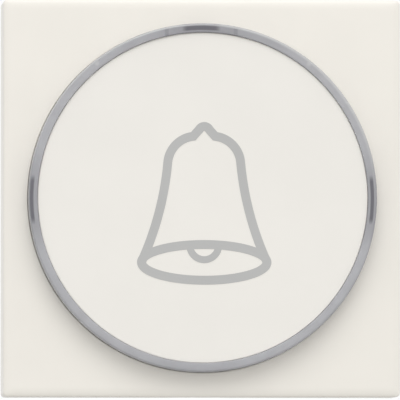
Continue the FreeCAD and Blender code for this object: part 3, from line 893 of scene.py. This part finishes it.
def clamp_screws():
    length, tip_y, slot_half, slot_depth = 5.0, -1.55, 0.25, 0.6
    screw = grown("clamp_thread", threaded_bar, zinc_plate,
                  {"Radius": 1.25, "Length": length, "Pitch": 0.5, "Thread depth": 0.22, "Rings": 90})
    slot = block(-2, 2, -slot_half, slot_half, -length / 2 - 1, -length / 2 + slot_depth)
    screw = cut(screw, [slot])
    lying = Matrix.Rotation(-pi / 2, 4, "X")
    for side, x in (("left", -CONTACT_X), ("right", CONTACT_X)):
        one = screw.copy()
        one.transform(Matrix.Translation((x, tip_y - length / 2, CLAMP_Z)) @ lying)
        shown(f"grub_screw_{side}", one, zinc_plate, "base", [f"clamp_screw_{side}"])


clamp_screws()

# %% [markdown]
# ## Lamps and small components
# Four amber lamps sit under the clear ring. Each is a white body with a domed lens and two tinned feet. One
# tree turns and spaces copies of any small part round the axis, so bodies, lenses and feet each make one
# piece.

# %% Space parts round the axis
def ring_of_copies(graph, given):
    points = graph.node("GeometryNodeMeshLine", {}, {"Count": given["Count"], "Offset": (0.0, 0.0, 0.0)})
    turn = graph.node("GeometryNodeInputIndex") * (2 * pi) / given["Count"] + given["First angle"]
    turned_to = graph.node("ShaderNodeCombineXYZ", {}, [0.0, 0.0, turn])
    return graph.node("GeometryNodeInstanceOnPoints", {}, {
        "Points": points, "Instance": given["Geometry"], "Rotation": turned_to})


def spaced(name, part, count, first_degrees, material, replaced=()):
    sizes = {"Count": count, "First angle": radians(first_degrees)}
    mesh = grown(name, ring_of_copies, material, sizes, start=part)
    shown(name, mesh, material, "base", replaced)


def chamfered_block(x0, x1, y0, y1, z0, z1, edge):
    """A block with its upright edges and its top edges cut back."""
    def loop(inset, z):
        a, b, c, d, e = x0 + inset, x1 - inset, y0 + inset, y1 - inset, edge
        return [(a + e, c, z), (b - e, c, z), (b, c + e, z), (b, d - e, z), (b - e, d, z), (a + e, d, z),
                (a, d - e, z), (a, c + e, z)]
    return loft([loop(0, z0), loop(0, z1 - edge), loop(edge, z1)], False)


def lens_dome(x, radius, base, top):
    profile = [(radius, base)] + bend((radius, base + 0.05), (0.05, top), (0.05, base + 0.05), 8)
    return moved(turned(profile, rays=even_rays(32)), x, 0, 0)


LAMP_R, LAMP_WIDE, LAMP_LONG, FOOT_WIDE = 18.6, 0.85, 1.15, 0.6
lamp_body = chamfered_block(LAMP_R - LAMP_WIDE, LAMP_R + LAMP_WIDE, -LAMP_LONG, LAMP_LONG,
                            BOARD_TOP, BOARD_TOP + 0.5, 0.08)
spaced("lamp_bodies", lamp_body, 4, 45, lamp_body_plastic)
lens = lens_dome(LAMP_R, 0.72, BOARD_TOP + 0.45, BOARD_TOP + 0.7)
spaced("lamp_lenses", lens, 4, 45, lamp_lens, ["led_1", "led_2", "led_3", "led_4"])
feet = [chamfered_block(LAMP_R - FOOT_WIDE, LAMP_R + FOOT_WIDE, *ends, BOARD_TOP, BOARD_TOP + 0.35, 0.06)
        for ends in ((-1.4, -1.0), (1.0, 1.4))]
spaced("lamp_feet", merged(feet), 4, 45, tin)

# %% [markdown]
# The cup is pushed into a drilled hole that is never quite round. Eight thin ribs along it are crushed a
# little as it goes in, and hold it. Each fades out at its inner end, so that it starts easily. One rib is a
# loft of three sections, and the tree above sets eight of them round the cup.

# %% Crush ribs on the cup
def crush_rib():
    foot, crest = CUP_R - 0.3, CUP_R + 0.35
    return loft([[(foot, -0.5, z), (top, -0.18, z), (top, 0.18, z), (foot, 0.5, z)]
                 for z, top in ((-19.5, CUP_R - 0.1), (-16.5, crest), (-0.4, crest))], False)


spaced("crush_ribs", crush_rib(), 8, 22.5, housing_plastic)

# %% [markdown]
# The two chip resistors and the rectifier that feed the lamps lie on the board at odd angles. A chip is a
# dark body with a tinned cap on each end. The rectifier has four bent legs that stand on the board.

# %% Chips and legs
def chip(length, width, height, end):
    """A dark body and its end caps, which stand a hair proud of it."""
    half_width, half_length = width / 2, length / 2
    body_width, body_length = half_width - 0.03, half_length - end / 2
    body = chamfered_block(-body_width, body_width, -body_length, body_length,
                           BOARD_TOP, BOARD_TOP + height - 0.02, 0.04)
    caps = [chamfered_block(-half_width, half_width, *ends, BOARD_TOP, BOARD_TOP + height, 0.05)
            for ends in ((-half_length, end - half_length), (half_length - end, half_length))]
    return body, merged(caps)


def legs(width, span, count):
    """Bent legs along both long sides, as strips that leave the body, go down and stand on the board."""
    strips, wide, thick = [], 0.3, 0.07
    for side in (-1, 1):
        for i in range(count):
            y = (i - (count - 1) / 2) * span
            path = [(side * (width / 2 - inward), z)
                    for inward, z in ((0.5, 0.42), (0.28, 0.42), (0.2, 0.08), (0, 0.08))]
            loops = [[(x, y - wide, BOARD_TOP + z + t) for t in (-thick, thick)] +
                     [(x, y + wide, BOARD_TOP + z + t) for t in (thick, -thick)] for x, z in path]
            strips.append(loft(loops, False))
    return merged(strips)


def on_board(mesh, degrees_round):
    mesh.transform(Matrix.Rotation(radians(degrees_round), 4, "Z") @ Matrix.Translation((LAMP_R, 0, 0)))
    return mesh


chip_bodies, chip_caps = [], []
for degrees_round in (65, 115):
    for found, mesh in zip((chip_bodies, chip_caps), chip(length=3.2, width=1.6, height=0.6, end=0.55)):
        found.append(on_board(mesh, degrees_round))
shown("chip_bodies", merged(chip_bodies), chip_plastic, "base")
shown("chip_caps", merged(chip_caps), tin, "base", ["resistor_1", "resistor_2"])
RECTIFIER_AT = 248
body = chamfered_block(-0.92, 0.92, -2.2, 2.2, BOARD_TOP + 0.08, BOARD_TOP + 0.7, 0.1)
shown("rectifier_body", on_board(body, RECTIFIER_AT), chip_plastic, "base", ["rectifier"])
shown("rectifier_legs", on_board(legs(width=2.6, span=2.5, count=2), RECTIFIER_AT), tin, "base")

# %% [markdown]
# Each pin comes up through the board and is soldered. Molten solder creeps up the pin and runs out on the
# copper, so the joint is a little cone with a hollow flank, which a turned section gives.

# %% Solder round the two pins
def solder_cone(x):
    flank = [(1.15, -0.02), (1.1, 0.04), (0.8, 0.12), (0.62, 0.3), (0.5, 0.42)]
    profile = [(r, BOARD_TOP + z) for r, z in flank]
    return moved(turned(profile, rays=even_rays(32)), x, 0, 0)


shown("solder_joints", merged([solder_cone(x) for x in (-PIN_X, PIN_X)]), tin, "base")

# %% [markdown]
# ## Finishes for the solids that stay
# The plunger, the cover, the contacts, the terminals, the board and its pins are already the right shape,
# so they keep their solids and only get a finish: copper for the bridge, silver for the tips that meet,
# brass for the strips, and turned brass for the blocks.

# %% Finish the remaining solids
def repaint(material, *nodes):
    for node in nodes:
        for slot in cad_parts[node].material_slots:
            slot.material = material
    print(material.name, "on", ", ".join(nodes))


repaint(plunger_plastic, "plunger")
repaint(cover_plastic, "mechanism_cover")
repaint(copper, "contact_bridge")
repaint(silver, "bridge_tips", "fixed_tip_left", "fixed_tip_right")
repaint(brass, "fixed_contact_left", "fixed_contact_right")
repaint(machined_brass, "terminal_left", "terminal_right")
repaint(board_lacquer, "led_board")
repaint(pin_plate, "led_pin_left", "led_pin_right")

# %% [markdown]
# ## Light, camera and surroundings
# The photograph was taken nearly square on, from a few degrees to the left and below, in soft light from
# above. The camera stands 1.2 m off with a long lens, because the photograph shows almost no perspective.
# Its view is a quarter of a millimetre wider than the plate.

# %% Camera
TURN_LEFT, TURN_DOWN = radians(3.3), radians(2.0)
DISTANCE, VIEW_WIDTH = 1.2, 0.04525
camera_data = bpy.data.cameras.new("camera")
camera_data.sensor_width = 36.0
camera_data.lens = camera_data.sensor_width * DISTANCE / VIEW_WIDTH
camera = placed("camera", camera_data)
aim = Vector((-0.00033, -0.0101, -0.00027))
away = Vector((-sin(TURN_LEFT) * cos(TURN_DOWN), -cos(TURN_LEFT) * cos(TURN_DOWN), -sin(TURN_DOWN)))
camera.location = aim + away * DISTANCE
camera.rotation_euler = (-away).to_track_quat("-Z", "Y").to_euler()
bpy.context.scene.camera = camera
print("camera at", [round(c, 3) for c in camera.location], "lens", round(camera_data.lens), "mm")

# %% [markdown]
# Three large round lamps stand for softboxes. Two hang above in front, and make the shade under the ring
# and the bright top edge. The third is behind the camera and only lifts the front. They are far off and
# large for so small a thing, so the light is even over the plate and the shade has a soft border.

# %% Lights
SOFTBOX_SIZE = 2.0
SOFTBOXES = {
    "softbox_above": ((0, -1.76, 1.76), 20.0),
    "softbox_high": ((0, -1.04, 2.24), 4.4),
    "softbox_front": ((0, -2.48, 0), 5.2),
}
for name, (place, power) in SOFTBOXES.items():
    lamp = bpy.data.lights.new(name, "AREA")
    lamp.shape, lamp.size, lamp.energy = "DISK", SOFTBOX_SIZE, power
    light = placed(name, lamp)
    light.location = place
    light.rotation_euler = (-light.location).to_track_quat("-Z", "Y").to_euler()
    print(name, power, "W")

# %% [markdown]
# A pale room lights the object from all sides, which the world stands in for. The eye sees it as white,
# straight, in a mirror or through glass, while it lights the object a little less. The floor looks like
# paper but throws less light back up than paper would, because the photograph has no glow from below.

# %% World and floor
WHITE, WORLD_LIGHT = 1.0, 0.83


def seen(graph):
    """1 for a ray that ends in the eye, straight, by a mirror or through glass."""
    rays = graph.outputs_of(graph.node("ShaderNodeLightPath"))
    return rays["Is Camera Ray"].most(rays["Is Glossy Ray"]).most(rays["Is Transmission Ray"])


world = bpy.data.worlds.new("studio")
bpy.context.scene.world = world
world.use_nodes = True
graph = Graph(world.node_tree)
back = world.node_tree.nodes["Background"]
back.inputs["Color"].default_value = (1.0, 1.0, 1.0, 1.0)
link(graph, seen(graph) * (WHITE - WORLD_LIGHT) + WORLD_LIGHT, back, "Strength")

floor_mesh = bpy.data.meshes.new("floor")
half, below = 3, -0.1
corners = [(-half, -half, below), (half, -half, below), (half, half, below), (-half, half, below)]
floor_mesh.from_pydata(corners, [], [(0, 1, 2, 3)])
floor = placed("floor", floor_mesh)
floor_finish, graph, floor_shader = finish("floor_paper", {"Roughness": 0.9})
link(graph, tinted(graph, seen(graph), (0.5, 0.5, 0.49), (0.86, 0.86, 0.85)), floor_shader, "Base Color")
floor_mesh.materials.append(floor_finish)
print("world", WORLD_LIGHT, "floor", floor.name)

# %% [markdown]
# ## Colour view
# The colours are shown as they are, with no film look.

# %% Colour view
bpy.context.scene.view_settings.view_transform = "Standard"
